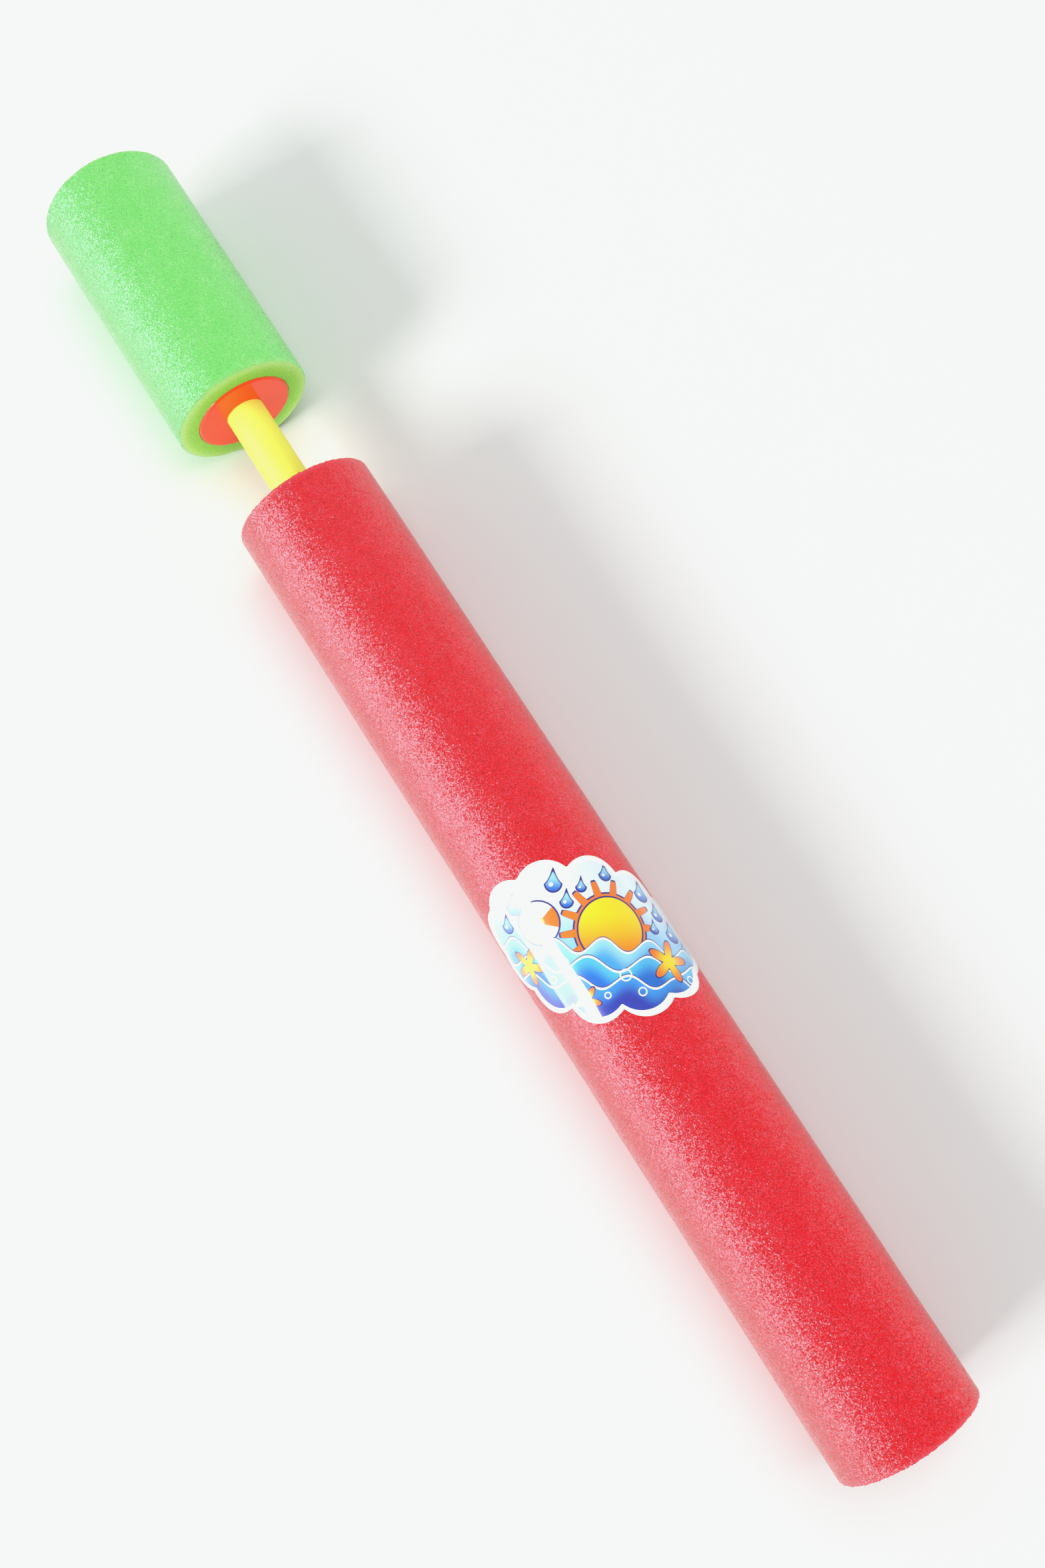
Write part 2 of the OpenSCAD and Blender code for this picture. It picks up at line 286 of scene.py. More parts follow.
def sleeve_profile(rear, front, edge_r, skin_rows):
    """A closed half section as rows of x, radius, depth of texture and share of cut surface.

    The skin is a straight run at the outer radius, with its hollows only where its rows lie close together.
    Each edge is a quarter circle. The cuts run straight from edge to bore, and the bore closes the loop.
    """
    bore_r = TUBE_R + FOAM_GAP
    turn = np.linspace(0, math.pi / 2, EDGE_ROWS + 2)[1:-1]
    cut_share = turn / (math.pi / 2)
    skin_x = skin_places(rear, front, edge_r, skin_rows)
    skin_depth = SKIN_DEPTH * np.minimum(1, HOLLOW_STEP / np.gradient(skin_x))
    edge_depth = SKIN_DEPTH + (CUT_DEPTH - SKIN_DEPTH) * cut_share
    cut_r = np.linspace(FOAM_R - edge_r, bore_r + FOAM_GAP, CUT_ROWS)
    cut_depth = np.full(CUT_ROWS, CUT_DEPTH)
    bore_x = np.linspace(front, rear, BORE_ROWS)
    arc_out = edge_r * (1 - np.sin(turn))
    arc_down = edge_r * (1 - np.cos(turn))
    runs = [
        (skin_x, np.full(skin_rows, FOAM_R), skin_depth, np.zeros(skin_rows)),
        (front - arc_out, FOAM_R - arc_down, edge_depth, cut_share),
        (np.full(CUT_ROWS, front), cut_r, cut_depth, np.ones(CUT_ROWS)),
        (bore_x, np.full(BORE_ROWS, bore_r), np.zeros(BORE_ROWS), np.ones(BORE_ROWS)),
        (np.full(CUT_ROWS, rear), cut_r[::-1], cut_depth, np.ones(CUT_ROWS)),
        (rear + arc_out[::-1], FOAM_R - arc_down[::-1], edge_depth[::-1], cut_share[::-1]),
    ]
    return [np.concatenate(column) for column in zip(*runs)]


def smooth_field(shape, passes, random):
    """Random numbers averaged with their neighbours, scaled to run from 0 to 1. Columns wrap round."""
    field = random.normal(size=shape)
    for _ in range(passes):
        up_and_down = np.roll(field, 1, 0) + np.roll(field, -1, 0)
        left_and_right = np.roll(field, 1, 1) + np.roll(field, -1, 1)
        field = (up_and_down + left_and_right) / 4
    low, high = np.percentile(field, [1, 99])
    return np.clip((field - low) / (high - low), 0, 1)


def foam_sleeve(name, rear, front, edge_r, skin_rows, random):
    """The profile turned about the axis, less depth times a random field along the profile's own normal.

    The skin also sinks by long waves: the mean of a few sines of the turn and of x. Near each rim the surface
    is set back along x by a random amount that differs from column to column, times exp(-(d / reach) squared)
    for its distance d from the rim, which leaves a ragged outline. The glow falls off by the same formula
    from the line where the edge meets the cut.
    """
    along, radius, depth, cut = sleeve_profile(rear, front, edge_r, skin_rows)
    step_x = np.roll(along, -1) - np.roll(along, 1)
    step_r = np.roll(radius, -1) - np.roll(radius, 1)
    size = np.hypot(step_x, step_r)
    cells = smooth_field((len(along), COLUMNS), 1, random)
    at_front = along > (rear + front) / 2
    to_end = np.where(at_front, front - along, along - rear)
    to_rim = np.hypot(to_end, FOAM_R - radius)
    set_back = RAGGED_DEPTH * np.exp(-((to_rim / RAGGED_REACH) ** 2)) * np.where(at_front, -1, 1)
    ragged = smooth_field((2, COLUMNS), 1, random)[at_front.astype(int)]
    turn = np.linspace(0, 2 * math.pi, COLUMNS, endpoint=False)
    phase = random.uniform(0, 2 * math.pi, WAVE_COUNT)
    waves = sum(
        np.sin((k + 1) * turn + WAVE_RATE * (k + 2) * along[:, None] + phase[k]) for k in range(WAVE_COUNT)
    )
    sunk = depth[:, None] * cells + (1 - cut[:, None]) * WAVE_DEPTH * (0.5 + waves / (2 * WAVE_COUNT))
    points = revolve(along, radius, COLUMNS)
    points[..., 0] += sunk * (step_r / size)[:, None] + set_back[:, None] * ragged
    shrink = 1 - sunk * (step_x / size)[:, None] / radius[:, None]
    points[..., 1] *= shrink
    points[..., 2] = AXIS_Z + (points[..., 2] - AXIS_Z) * shrink
    sleeve = ring_object(name, points)
    glow = np.exp(-((np.hypot(to_end, FOAM_R - edge_r - radius) / GLOW_REACH) ** 2))
    for attribute, rows in (("cut", cut), ("glow", glow)):
        values = np.repeat(rows, COLUMNS).astype(np.float32)
        sleeve.data.attributes.new(attribute, "FLOAT", "POINT").data.foreach_set("value", values)
    return sleeve


random = np.random.default_rng(SEED)
barrel_foam = foam_sleeve(
    "barrel_foam", barrel_low.x, barrel_high.x, BARREL_EDGE_R, BARREL_SKIN_ROWS, random
)
handle_foam = foam_sleeve(
    "handle_foam", handle_low.x, handle_high.x, HANDLE_EDGE_R, HANDLE_SKIN_ROWS, random
)
for sleeve, body, node, slot in (
    (barrel_foam, "barrel", "barrel_foam_sleeve", "red_foam"),
    (handle_foam, "plunger", "handle_foam_grip", "green_foam"),
):
    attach(sleeve, body)
    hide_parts(node)
    print(sleeve.name, "faces", len(sleeve.data.polygons))

# %% [markdown]
# ## The foam's finish
#
# Each cell of the skin is a tiny mirror that faces its own way, so a lamp shows as a band of single glints
# and not as a smooth streak. A noise bump gives waves, which never glint like that. A 3-D Voronoi pattern on
# object coordinates gives every cell a random colour. Taken as a vector, that colour tilts the cell's whole
# normal, and a few lucky cells tilt much more than the rest. The distance from a cell's middle gives its dome
# and the darker gaps between cells, whose colour is painted shade. Some cells are paler than others: partly
# tone that differs at random, partly a painted sheen of the cell walls. The cut ends are matt, with painted
# shade in their pores, deeper towards the tube. The rim between skin and cut is pale: a painted glow of the
# light that comes through the thin foam.

# %% Foam material
CELL_MM = 0.27
CELL_DRAWN = 1.25
DOME_HEIGHT = 0.04 * MM
FACET_TILT = 0.65
LUCK_TILT = 1.2
LUCK_POWER = 5.0
GLOW_SHARE = 0.5
FOAM_IOR = 1.8
# Sizes of the noises, in waves per cell: within a cell, over a few cells and over many
FINE_SCALE = 1.4
LUMP_SCALE = 0.18
PATCH_SCALE = 0.05


def axis_distance(wire, place):
    """How far a place lies from the barrel's axis."""
    moved = wire.add("VectorMath", {"operation": "SUBTRACT"}, {0: place, 1: (0.0, 0.0, AXIS_Z)})
    across = wire.add("VectorMath", {"operation": "MULTIPLY"}, {0: moved, 1: (0.0, 1.0, 1.0)})
    return wire.add("VectorMath", {"operation": "LENGTH"}, {0: across}, "Value")


def foam_material(name, shaded_gap, deep, pale_sheen, cut_light, cut_pore_shade, rim):
    """Foam of one colour: skin gap to pale, cut light to dark, rim; painted shade, sheen and glow."""
    material, wire = new_material(name)
    place = wire.add("TexCoord", output="Object")
    per_cell = 1 / (CELL_MM * MM)
    per_axis = (per_cell / CELL_DRAWN, per_cell, per_cell)
    grain = wire.add("Mapping", None, {"Vector": place, "Scale": per_axis})
    cell = wire.add("TexVoronoi", {"feature": "F1"}, {"Vector": grain, "Scale": 1.0}, "Distance")
    chance = cell.out("Color")
    shade = wire.add("SeparateColor", None, {"Color": chance})
    fine = wire.add("TexNoise", None, {"Vector": grain, "Scale": FINE_SCALE, "Detail": 2.0})
    patch = wire.add("TexNoise", None, {"Vector": grain, "Scale": PATCH_SCALE, "Detail": 2.0})
    cut = wire.add("Attribute", {"attribute_name": "cut"}, output="Fac").ramp(0.4, 1.0)
    # Pale cells: partly tone that differs at random, partly a painted sheen of the cell walls.
    sheen_speck = (0.8 * shade + 0.3 * fine + 0.5 * patch - 0.3).ramp(0.45, 1.15)
    # Painted shade in the pores of the cut, deeper towards the tube.
    bore_shade = axis_distance(wire, place).ramp(FOAM_R, TUBE_R)
    pore_shade = (cell + fine * 0.5 + bore_shade * 0.35).ramp(0.6, 1.25)
    # The gaps between cells get a darker colour: painted shade.
    skin_colour = (cell + fine * 0.4).ramp(0.6, 1.05).blend(sheen_speck.blend(deep, pale_sheen), shaded_gap)
    cut_colour = pore_shade.blend(cut_light, cut_pore_shade)
    # The rim's pale colour is a painted glow of light coming through the thin foam.
    glow = wire.add("Attribute", {"attribute_name": "glow"}, output="Fac") * GLOW_SHARE
    normal = wire.add("NewGeometry", output="Normal")
    luck = wire.add("TexWhiteNoise", None, {"Vector": cell.out("Position")}, "Value")
    spread = FACET_TILT * (1 + LUCK_TILT * luck**LUCK_POWER)
    offset = wire.add("VectorMath", {"operation": "SUBTRACT"}, {0: chance, 1: (0.5, 0.5, 0.5)})
    tilt = wire.add("VectorMath", {"operation": "SCALE"}, {0: offset, "Scale": spread * (1 - cut)})
    facet = wire.add("VectorMath", {"operation": "ADD"}, {0: normal, 1: tilt})
    flat = wire.add("VectorMath", {"operation": "NORMALIZE"}, {0: facet})
    lump = wire.add("TexNoise", None, {"Vector": grain, "Scale": LUMP_SCALE, "Detail": 2.0})
    height = 1 - cell * cell + 0.35 * fine + (1 - cut) * (2.0 * lump + 4.0 * patch)
    relief = {"Strength": 1.0, "Distance": DOME_HEIGHT, "Height": height, "Normal": flat}
    bump = wire.add("Bump", None, relief)
    finish_material(
        wire,
        {"IOR": FOAM_IOR},
        Base_Color=glow.blend(cut.blend(skin_colour, cut_colour), rim),
        Roughness=0.08 + 0.14 * fine + 0.5 * cut,
        Normal=bump,
    )
    return material


# Skin: gaps with painted shade, cells and pale cells with partly painted sheen.
# Cut: face, pores with painted shade, and rim with painted glow.
RED_SKIN = (rgb(194, 0, 18), rgb(245, 0, 24), rgb(255, 98, 122))
RED_CUT = (rgb(240, 46, 60), rgb(178, 10, 28), rgb(255, 104, 118))
GREEN_SKIN = (rgb(108, 226, 98), rgb(126, 236, 112), rgb(194, 251, 178))
GREEN_CUT = (rgb(186, 255, 112), rgb(132, 222, 58), rgb(204, 255, 160))
barrel_foam.data.materials.append(foam_material("red_foam_skin", *RED_SKIN, *RED_CUT))
handle_foam.data.materials.append(foam_material("green_foam_skin", *GREEN_SKIN, *GREEN_CUT))
print("foam finished, cells of", CELL_MM, "mm")

# %% [markdown]
# ## The label
#
# A die-cut vinyl label is wrapped over the top of the barrel. Its outline is a ring of lobes, so it can be
# drawn as a distance from its middle: along each direction, the farthest point of any lobe. A square grid is
# pressed into that outline, which leaves no pole in the middle, and rolled onto the barrel. A Solidify
# modifier then gives the vinyl its thickness. The unrolled coordinates, in millimetres, are kept as the UV
# map, so the print can be worked out in them.

# %% Build the label
LABEL_T = 0.2 * MM
LABEL_FROM_REAR = 179 * MM
LABEL_HALF_WIDTH = 29.5
LABEL_HALF_HEIGHT = 16.0
LABEL_LOBE_R = 10.0
LABEL_LOBES = 12
LABEL_TURN = math.radians(32)
LABEL_CORNER = 0.25
LABEL_RIPPLE = 0.025 * MM
LABEL_CELLS = 120


def label_reach(turn):
    """How far the label's outline lies from its middle in each direction, in mm.

    For a lobe at distance d, seen at angle a from its middle, the far side lies at d cos a plus the root of
    r squared less (d sin a) squared. A soft maximum over all lobes rounds the inner corners.
    """
    lobe = np.arange(LABEL_LOBES) * 2 * math.pi / LABEL_LOBES
    u, v = LABEL_HALF_WIDTH * np.cos(lobe), LABEL_HALF_HEIGHT * np.sin(lobe)
    ahead = np.multiply.outer(np.cos(turn), u) + np.multiply.outer(np.sin(turn), v)
    aside = np.multiply.outer(np.sin(turn), u) - np.multiply.outer(np.cos(turn), v)
    inside = np.maximum(LABEL_LOBE_R**2 - aside**2, 0)
    far = np.where(inside > 0, ahead + np.sqrt(inside), 0)
    return LABEL_CORNER * np.log(np.exp(far / LABEL_CORNER).sum(axis=-1))


def label_sheet():
    """A square grid pressed into a disc, stretched to the outline and rolled onto the barrel.

    The disc's u is a times the root of 1 - b squared / 2, and v likewise. The vinyl lies a little uneven on
    the foam: the product of two sines makes bubbles and a third sine makes creases.
    """
    side = np.linspace(-1, 1, LABEL_CELLS)
    a, b = np.meshgrid(side, side, indexing="ij")
    disc_u, disc_v = a * np.sqrt(1 - b * b / 2), b * np.sqrt(1 - a * a / 2)
    reach = label_reach(np.arctan2(disc_v, disc_u))
    u, v = disc_u * reach, disc_v * reach
    along = u * math.sin(LABEL_TURN) - v * math.cos(LABEL_TURN)
    round_it = u * math.cos(LABEL_TURN) + v * math.sin(LABEL_TURN)
    angle = round_it * MM / FOAM_R
    bubbles = np.sin(along / 3.1 + 1.0) * np.sin(round_it / 4.3)
    creases = np.sin(round_it / 2.6 - along / 5)
    radius = label_outer_r + LABEL_RIPPLE * (bubbles + creases - 2)
    x = barrel_low.x + LABEL_FROM_REAR + along * MM
    points = np.stack([x, radius * np.sin(angle), AXIS_Z + radius * np.cos(angle)], axis=-1)
    return points, u, v, np.hypot(disc_u, disc_v)


label_outer_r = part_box("label_sticker")[1].z - AXIS_Z
points, label_u, label_v, label_rim = label_sheet()
index = np.arange(LABEL_CELLS**2).reshape(LABEL_CELLS, LABEL_CELLS)
corners = [index[:-1, :-1], index[1:, :-1], index[1:, 1:], index[:-1, 1:]]
quads = np.stack(corners, axis=-1).reshape(-1, 4)
mesh = bpy.data.meshes.new("label")
mesh.from_pydata(points.reshape(-1, 3).tolist(), [], quads.tolist())
mesh.shade_smooth()
uv = np.stack([label_u.ravel(), label_v.ravel()], axis=-1)[quads.ravel()]
mesh.uv_layers.new(name="print").data.foreach_set("uv", uv.astype(np.float32).ravel())
rim_values = label_rim.ravel().astype(np.float32)
mesh.attributes.new("rim", "FLOAT", "POINT").data.foreach_set("value", rim_values)
label = bpy.data.objects.new("label", mesh)
bpy.context.scene.collection.objects.link(label)
vinyl = label.modifiers.new("vinyl", "SOLIDIFY")
vinyl.thickness = LABEL_T
vinyl.offset = -1.0
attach(label, "barrel")
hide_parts("label_sticker")
print("label normal up", round(mesh.polygons[len(mesh.polygons) // 2].normal.z, 2))

# %% [markdown]
# ## The label's print
#
# The print is a plain summer picture of the maker's own: a sun with short rays, a beach ball and three
# starfish round three bands of water, with drops and bubbles, on white vinyl with a white border. Each shape
# is a formula on the unrolled millimetres, u across and v up: a disc is a distance, a wave is a height under
# a sine, a ray or a starfish's arm is an angle that repeats, a drop is a disc squeezed towards its top.
# Shapes are laid over each other from back to front, like the inks. Vinyl is glossy, so the shader has a
# clear coat that mirrors the lamp.

# %% Label material
# The border's inner line as a share of the way to the outline, and half its softness
BORDER_FROM, BORDER_SOFT = 0.925, 0.003
EDGE_SOFT_MM = 0.12
LINE_MM = 0.55
SKY_FROM_V, SKY_TO_V = 16.0, -4.0
SUN_AT, SUN_R = (5.0, 2.5), 10.0
RAY_COUNT, RAY_BASE, RAY_LENGTH = 14, 1.2, 4.4
BALL_AT, BALL_R, BALL_WEDGES = (-17.5, 4.5), 6.6, 3.0
# How far a crest's dark line and its white line reach above the water, and the depth of its fading
CREST_LINE, CREST_WHITE, WATER_FADE = 1.0, 0.7, 6.0
BUBBLE_LINE = 0.2
# A starfish's radius swings by this share about the rest of it
STAR_ARMS, STAR_SWING = 5.0, 0.34
# Place, radius and turn of each starfish
STARFISH = ((23.5, -6.5, 7.0, 0.5), (-23.0, -9.5, 6.2, 1.7), (-3.0, -19.0, 4.4, 2.6))
WHITE_VINYL = rgb(246, 247, 246)
SKY_PALE, SKY_BLUE = rgb(226, 242, 252), rgb(140, 202, 244)
YELLOW, ORANGE = rgb(255, 226, 12), rgb(244, 124, 36)
OUTLINE = rgb(58, 44, 128)
DROP_PALE, DROP_DEEP = rgb(150, 214, 248), rgb(34, 104, 208)
# Crest height, length, rise and phase of each band of water from back to front, then its two blues
WATER_BANDS = (
    (-3.0, 15.0, 2.2, 0.6, rgb(150, 216, 248), rgb(70, 160, 226)),
    (-8.5, 19.0, 2.4, 2.4, rgb(84, 190, 240), rgb(38, 110, 206)),
    (-14.0, 16.0, 1.9, 4.0, rgb(60, 150, 230), rgb(48, 62, 170)),
)
# Place and radius of each drop, then of each bubble, in mm
DROPS = (
    (-29.0, 3.0, 1.9), (-25.5, 9.5, 2.4), (-8.5, 11.0, 1.7), (-12.5, 16.5, 2.3), (17.5, 16.0, 2.5),
    (23.0, 10.0, 2.2), (28.0, 4.0, 2.6), (20.0, 4.0, 1.4), (4.0, 20.0, 1.7), (-4.0, 15.5, 1.3),
    (32.5, -1.0, 1.6),
)
BUBBLES = (
    (-10.0, -7.5, 1.5), (-14.0, -13.0, 1.1), (9.0, -11.5, 1.7), (14.0, -16.5, 1.2), (3.5, -17.5, 0.9),
    (31.0, -11.5, 1.2),
)


def inside(distance):
    """1 where a signed distance in mm is below 0, with a thin soft edge."""
    return distance.ramp(EDGE_SOFT_MM, -EDGE_SOFT_MM)


def stamp(picture, distance, paint):
    """Lays a shape with a dark outline over the picture."""
    picture = inside(distance - LINE_MM).blend(picture, OUTLINE)
    return inside(distance).blend(picture, paint)


def polar(u, v, at):
    """Distance of each place from a point, and its direction from there."""
    du, dv = u - at[0], v - at[1]
    return (du * du + dv * dv) ** 0.5, u.math("ARCTAN2", dv, du)


def label_material():
    """All the shapes from back to front, then the border, under a clear coat."""
    material, wire = new_material("label_print")
    place = wire.add("SeparateXYZ", None, {"Vector": wire.add("UVMap", {"uv_map": "print"})})
    u, v = place, place.out("Y")
    picture = v.ramp(SKY_FROM_V, SKY_TO_V).blend(SKY_PALE, SKY_BLUE)
    far, turn = polar(u, v, SUN_AT)
    ray = far - SUN_R - RAY_BASE - RAY_LENGTH * (turn * RAY_COUNT).sine().ramp(0.0, 0.9)
    picture = stamp(picture, ray, ORANGE)
    sun_paint = (v - SUN_AT[1]).ramp(-SUN_R, 0.7 * SUN_R).blend(ORANGE, YELLOW)
    picture = stamp(picture, far - SUN_R, sun_paint)
    far, turn = polar(u, v, BALL_AT)
    wedges = (turn * BALL_WEDGES + 0.6).sine().ramp(-0.12, 0.12).blend(WHITE_VINYL, ORANGE)
    picture = stamp(picture, far - BALL_R, inside(far - 0.3 * BALL_R).blend(wedges, YELLOW))
    for drop_u, drop_v, drop_r in DROPS:
        du, dv = u - drop_u, v - drop_v
        high = (dv / drop_r).most(0.0)
        far = ((du * (1 + high)) ** 2.0 + (dv / (1 + 0.35 * high)) ** 2.0) ** 0.5
        picture = stamp(picture, far - drop_r, dv.ramp(-drop_r, drop_r).blend(DROP_DEEP, DROP_PALE))
        shine = polar(u, v, (drop_u - 0.3 * drop_r, drop_v - 0.1 * drop_r))[0]
        picture = inside(shine - 0.28 * drop_r).blend(picture, WHITE_VINYL)
    for crest, length, rise, phase, light, dark in WATER_BANDS:
        top = crest + rise * (u * (2 * math.pi / length) + phase).sine()
        depth = top - v
        picture = inside(0 - depth - CREST_LINE).blend(picture, OUTLINE)
        picture = inside(0 - depth - CREST_WHITE).blend(picture, WHITE_VINYL)
        picture = inside(0 - depth).blend(picture, depth.ramp(0.0, WATER_FADE).blend(light, dark))
    for bubble_u, bubble_v, bubble_r in BUBBLES:
        far = polar(u, v, (bubble_u, bubble_v))[0]
        picture = inside(abs(far - bubble_r) - BUBBLE_LINE).blend(picture, WHITE_VINYL)
    for star_u, star_v, star_r, star_turn in STARFISH:
        far, turn = polar(u, v, (star_u, star_v))
        swing = STAR_SWING * (turn * STAR_ARMS + star_turn).sine()
        arms = far - star_r * (1 - STAR_SWING + swing)
        picture = stamp(picture, arms, (far / star_r).ramp(0.1, 0.9).blend(YELLOW, ORANGE))
    rim = wire.add("Attribute", {"attribute_name": "rim"}, output="Fac")
    border = rim.ramp(BORDER_FROM - BORDER_SOFT, BORDER_FROM + BORDER_SOFT)
    picture = border.blend(picture, WHITE_VINYL)
    finish_material(
        wire,
        {"Roughness": 0.2, "IOR": 1.5, "Coat Weight": 1.0, "Coat Roughness": 0.03, "Coat IOR": 1.8},
        Base_Color=picture,
    )
    return material


label.data.materials.append(label_material())
print("label printed with", len(DROPS), "drops and", len(WATER_BANDS), "bands of water")

# %% [markdown]
# ## Plastics, rubber and steel
#
# The caps are moulded in a glossy orange plastic that mirrors the floor and the rod, with a shallow ring near
# the rim and fine scratches. The rod is an extruded yellow tube, duller, with faint lines along it. A flat
# colour would look like paint, so each finish varies a little: flow clouds change the gloss, and marks,
# scratches or extrusion lines tilt the surface.

# %% Materials for the rigid pieces
RING_R = 14.9 * MM
RING_HALF_WIDTH = 0.5 * MM
# Sizes of the noises, in waves per metre
CLOUD_SCALE = 60.0
MARK_SCALE = 900.0
BRUSH_SCALE = 1600.0
SCRATCH_SCALE = (200.0, 1500.0, 130.0)
SCRATCH_TURN = 0.6
EVEN = (1.0, 1.0, 1.0)
DRAWN_ALONG_X = (0.03, 1.0, 1.0)


def plastic_material(name, colour, cloud, roughness, lines=EVEN):
    """A moulded or extruded plastic. Lines stretches its fine marks along each axis."""
    material, wire = new_material(name)
    place = wire.add("TexCoord", output="Object")
    clouds = wire.add("TexNoise", None, {"Vector": place, "Scale": CLOUD_SCALE, "Detail": 3.0})
    drawn = wire.add("Mapping", None, {"Vector": place, "Scale": lines})
    marks = wire.add("TexNoise", None, {"Vector": drawn, "Scale": MARK_SCALE, "Detail": 2.0})
    bump = wire.add("Bump", None, {"Strength": 0.12, "Distance": 0.02 * MM, "Height": marks})
    finish_material(
        wire,
        {"IOR": 1.5},
        Base_Color=clouds.ramp(0.3, 0.75).blend(colour, cloud),
        Roughness=roughness + 0.1 * clouds.ramp(0.45, 0.8),
        Normal=bump,
    )
    return material


def cap_material(name, colour, scratched):
    """A glossy moulding with a shallow ring near its rim, as moulds leave it, and fine scratches."""
    material, wire = new_material(name)
    place = wire.add("TexCoord", output="Object")
    clouds = wire.add("TexNoise", None, {"Vector": place, "Scale": CLOUD_SCALE, "Detail": 3.0})
    slanted = {"Vector": place, "Rotation": (SCRATCH_TURN, 0.0, 0.0), "Scale": SCRATCH_SCALE}
    strokes = wire.add("Mapping", None, slanted)
    scratch = wire.add("TexNoise", None, {"Vector": strokes, "Scale": 1.0}).ramp(0.71, 0.78)
    ring = abs(axis_distance(wire, place) - RING_R).ramp(RING_HALF_WIDTH, 0.0)
    height = ring + 0.5 * clouds - 0.4 * scratch
    bump = wire.add("Bump", None, {"Strength": 0.5, "Distance": 0.03 * MM, "Height": height})
    finish_material(
        wire,
        {"IOR": 1.5},
        Base_Color=scratch.blend(colour, scratched),
        Roughness=0.05 + 0.1 * clouds.ramp(0.45, 0.8) + 0.2 * scratch,
        Normal=bump,
    )
    return material


def steel_material(name):
    """Brushed steel: a fine noise changes its shade and its gloss."""
    material, wire = new_material(name)
    place = wire.add("TexCoord", output="Object")
    brushed = wire.add("TexNoise", None, {"Vector": place, "Scale": BRUSH_SCALE, "Detail": 3.0})
    finish_material(
        wire,
        {"Metallic": 1.0},
        Base_Color=brushed.blend(rgb(176, 178, 182), rgb(206, 208, 212)),
        Roughness=0.22 + 0.2 * brushed,
    )
    return material


orange = cap_material("orange_moulding", rgb(255, 76, 28), rgb(255, 112, 70))
yellow = plastic_material("yellow_rod", rgb(238, 241, 86), rgb(240, 243, 97), 0.62, DRAWN_ALONG_X)
white_tube = plastic_material("white_tube", rgb(238, 238, 234), rgb(230, 230, 226), 0.25, DRAWN_ALONG_X)
white_moulding = plastic_material("white_moulding", rgb(232, 232, 228), rgb(224, 224, 220), 0.35)
black_rubber = plastic_material("black_rubber", rgb(28, 28, 30), rgb(38, 38, 40), 0.55)
steel = steel_material("screw_steel")

FINISHES = {
    orange: ("nozzle_cap", "rear_guide_cap", "handle_front_cap", "handle_rear_cap"),
    yellow: ("plunger_rod",),
    white_tube: ("barrel_tube", "handle_core_tube"),
    white_moulding: ("piston_head", "rod_front_plug", "rod_rear_plug"),
    black_rubber: ("piston_o_ring_front", "piston_o_ring_rear"),
    steel: ("piston_washer", "piston_screw", "handle_screw"),
}
for material, nodes in FINISHES.items():
    for node in nodes:
        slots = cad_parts[node].data.materials
        slots.clear()
        slots.append(material)
    print(material.name, "on", ", ".join(nodes))

# %% [markdown]
# ## Floor, lamps and sky
#
# The object lies on a plain white floor, in soft light from the -Y side. One lamp could do all the work, but
# then a change to the shadow would change the foam's glints too. So the work is shared out, as in a studio:
#
# - the key panel casts the soft shadow and lights the rigid pieces,
# - the top panel and the fill panel light the foam evenly all round,
# - the gleam panel shows only in glossy surfaces and makes the band of glints,
# - the window panel makes the hard white stripe on the label,
# - the wall panel, low down, lights the flank,
# - the table panel lies on the floor and shows only in reflections, because white paper so near the lamps is
#   brighter than a picture can show, and the foam's flank mirrors it.
#
# Flags keep a lamp's light off chosen pieces. A white room lights the rest. It is dimmer overhead and towards
# +X, where the photographer stands, so the top of the barrel keeps its full colour.

# %% Set the stage
FLOOR_HALF = 6.0
PANEL_LOOKS_AT = Vector((0.0, 0.0, 0.02))
KEY_AT = Vector((0.25, -3.2, 1.84))
KEY_SIZE = (1.35, 0.90)
KEY_WATTS = 88.0
TOP_AT = Vector((-0.1, 0.5, 3.0))
TOP_SIZE = (2.6, 2.6)
TOP_WATTS = 47.0
FILL_AT = Vector((1.5, 0.6, 2.2))
FILL_SIZE = (2.0, 2.0)
FILL_WATTS = 31.5
GLEAM_AT = Vector((-0.494, -2.80, 0.87))
GLEAM_SIZE = (3.5, 1.78)
GLEAM_WATTS = 136.0
GLEAM_TINT = (0.58, 0.74, 0.90)
WINDOW_AT = Vector((-0.42, -2.375, 1.80))
WINDOW_SIZE = (3.5, 0.79)
WINDOW_WATTS = 130.0
WALL_AT = Vector((0.0, -3.0, 0.2))
WALL_SIZE = (4.0, 0.4)
WALL_WATTS = 4.0
TABLE_AT = Vector((0.0, -0.24, 0.001))
TABLE_SIZE = (1.4, 0.42)
TABLE_WATTS = 0.95
SKY_LOW = 0.76
SKY_HIGH = 0.13
# The sky dims overhead and towards +X in these shares, and towards +Y by its lean
SKY_DIM_UP, SKY_DIM_X = 0.9, 0.45
SKY_LEAN = 0.3
PAPER_SCALE = 40.0
FACING_UP = (0.0, 1.0, 0.0, 0.0)


def floor_material():
    """White paper with a faint unevenness."""
    material, wire = new_material("floor_paper")
    place = wire.add("TexCoord", output="Object")
    paper = wire.add("TexNoise", None, {"Vector": place, "Scale": PAPER_SCALE, "Detail": 3.0})
    finish_material(
        wire,
        {"Roughness": 0.9, "Specular IOR Level": 0.1},
        Base_Color=paper.blend(rgb(246, 248, 247), rgb(244, 246, 245)),
    )
    return material


floor_mesh = bpy.data.meshes.new("floor")
floor_signs = ((-1, -1), (1, -1), (1, 1), (-1, 1))
floor_mesh.from_pydata([(x * FLOOR_HALF, y * FLOOR_HALF, 0) for x, y in floor_signs], [], [(0, 1, 2, 3)])
floor = bpy.data.objects.new("floor", floor_mesh)
floor.data.materials.append(floor_material())
bpy.context.scene.collection.objects.link(floor)


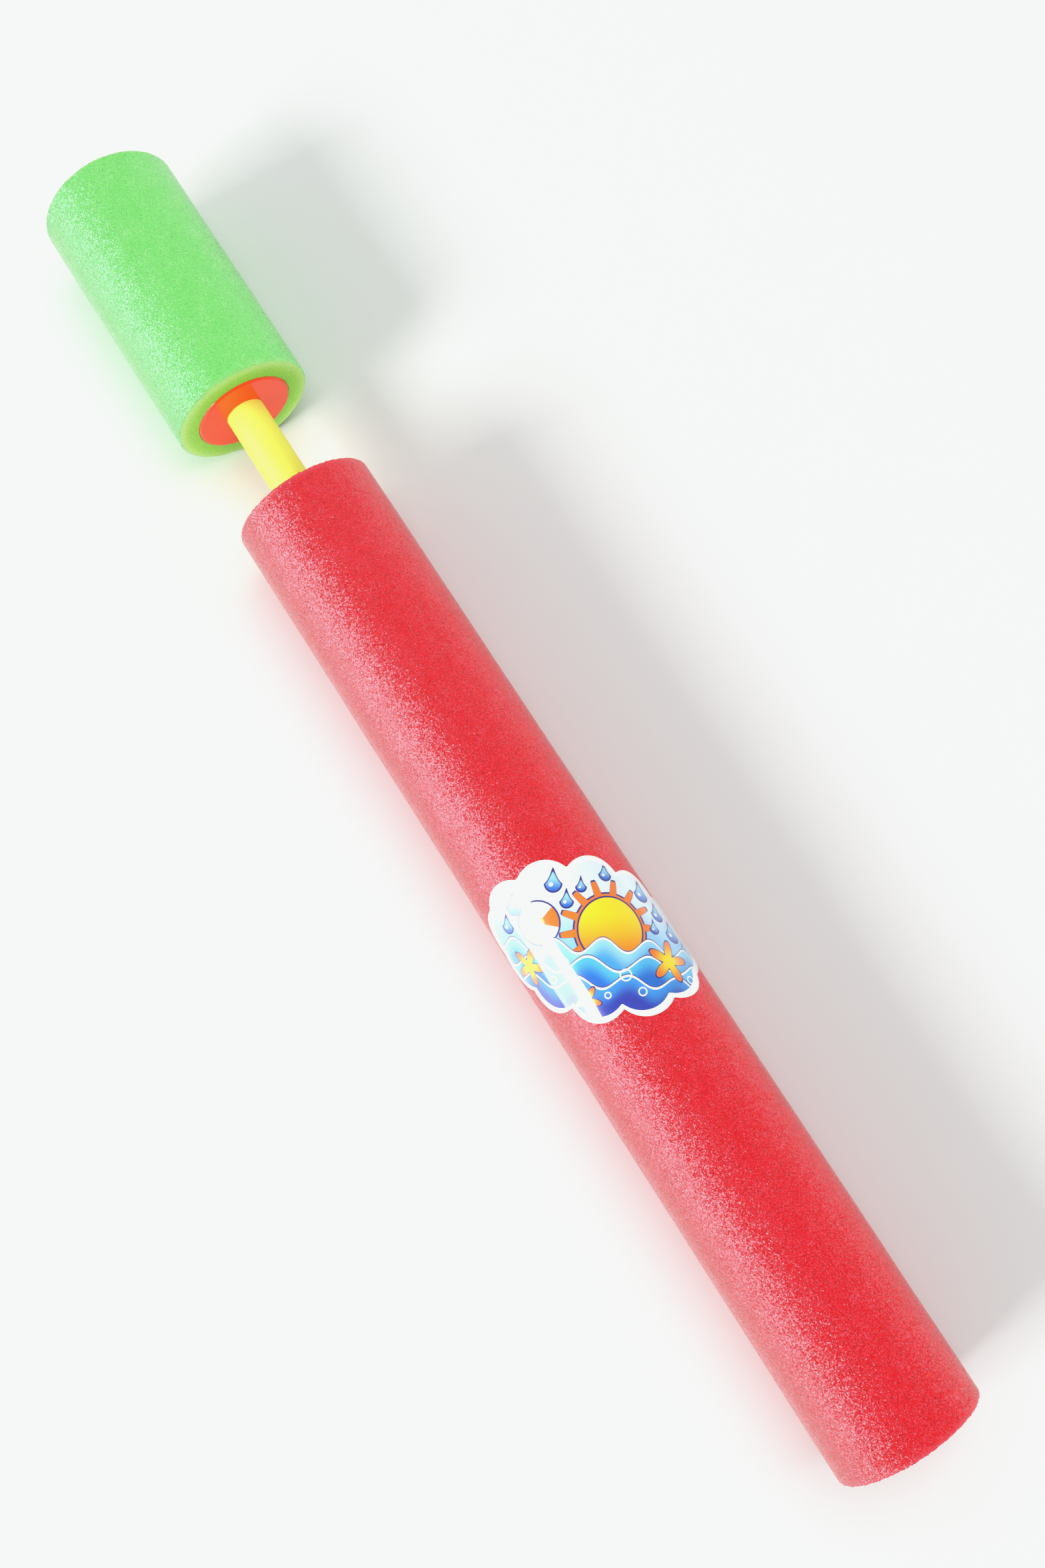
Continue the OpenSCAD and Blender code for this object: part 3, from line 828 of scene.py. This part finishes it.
def flag(lamp, shaded):
    """Keeps a lamp's light off some objects, as black cards do in a studio. They still cast its shadows."""
    cards = bpy.data.collections.new(lamp.name + "_flags")
    for thing in shaded:
        cards.objects.link(thing)
    for member in cards.collection_objects:
        member.light_linking.link_state = "EXCLUDE"
    lamp.light_linking.receiver_collection = cards


def lamp_panel(name, at, size, watts, hidden=(), shaded=()):
    """A rectangular area lamp that faces the object, with its level side first in its size.

    Hidden names the kinds of ray that don't meet it, shaded the objects that it is flagged off.
    """
    lamp = bpy.data.lights.new(name, "AREA")
    lamp.shape = "RECTANGLE"
    lamp.size, lamp.size_y = size
    lamp.energy = watts
    holder = bpy.data.objects.new(name, lamp)
    holder.location = at
    holder.rotation_mode = "QUATERNION"
    holder.rotation_quaternion = (PANEL_LOOKS_AT - at).to_track_quat("-Z", "Y")
    bpy.context.scene.collection.objects.link(holder)
    for kind in hidden:
        setattr(holder, "visible_" + kind, False)
    if shaded:
        flag(holder, shaded)
    return holder


foams = [barrel_foam, handle_foam]
lamp_panel("key_panel", KEY_AT, KEY_SIZE, KEY_WATTS, hidden=["glossy"], shaded=foams)
lamp_panel("top_panel", TOP_AT, TOP_SIZE, TOP_WATTS, hidden=["glossy"])
gleam = lamp_panel("gleam_panel", GLEAM_AT, GLEAM_SIZE, GLEAM_WATTS, hidden=["diffuse"])
gleam.data.color = GLEAM_TINT
lamp_panel("fill_panel", FILL_AT, FILL_SIZE, FILL_WATTS, hidden=["glossy"], shaded=[floor])
lamp_panel("window_panel", WINDOW_AT, WINDOW_SIZE, WINDOW_WATTS, hidden=["diffuse"], shaded=[*foams, floor])
lamp_panel("wall_panel", WALL_AT, WALL_SIZE, WALL_WATTS, shaded=[floor])
table = lamp_panel("table_panel", TABLE_AT, TABLE_SIZE, TABLE_WATTS, hidden=["diffuse", "camera"])
table.rotation_quaternion = FACING_UP

world = bpy.data.worlds.new("white_room")
world.use_nodes = True
world.node_tree.nodes.clear()
sky = Wire(world.node_tree)
direction = sky.add("SeparateXYZ", None, {"Vector": sky.add("TexCoord", output="Generated")})
height = (SKY_DIM_UP * direction.out("Z") + SKY_DIM_X * direction).ramp(0.0, 1.0)
strength = (SKY_LOW + (SKY_HIGH - SKY_LOW) * height) * (1 - SKY_LEAN * direction.out("Y"))
background = sky.add("Background", None, {"Color": (1.0, 1.0, 1.0, 1.0), "Strength": strength})
sky.add("OutputWorld", None, {"Surface": background})
bpy.context.scene.world = world
print("stage set")

# %% [markdown]
# ## Developing the picture
#
# White paper in studio light is brighter than a picture can show. A picture for print is developed so that
# all of it comes out at one white level, just under the brightest value there is. Weaker lamps would do that
# for the paper, but the object would get too dark. So a tone curve does it, as film does: straight up to a
# knee, then a parabola that leaves the straight line without a kink and is level when it reaches the white.

# %% Set the white level
WHITE_LEVEL = rgb(246, 248, 247)[:3]
SHOULDER_POINTS = 4

view = bpy.context.scene.view_settings
view.view_transform = "Standard"
view.use_curve_mapping = True
view.curve_mapping.extend = "HORIZONTAL"
for curve, level in zip(view.curve_mapping.curves, WHITE_LEVEL):
    knee = 2 * level - 1
    curve.points[1].location = (1.0, level)
    for share in np.arange(SHOULDER_POINTS) / SHOULDER_POINTS:
        curve.points.new(knee + share * (1 - knee), level - (level - knee) * (1 - share) ** 2)
    for point in curve.points:
        point.handle_type = "VECTOR"
view.curve_mapping.update()
print("white level", [round(level, 3) for level in WHITE_LEVEL])
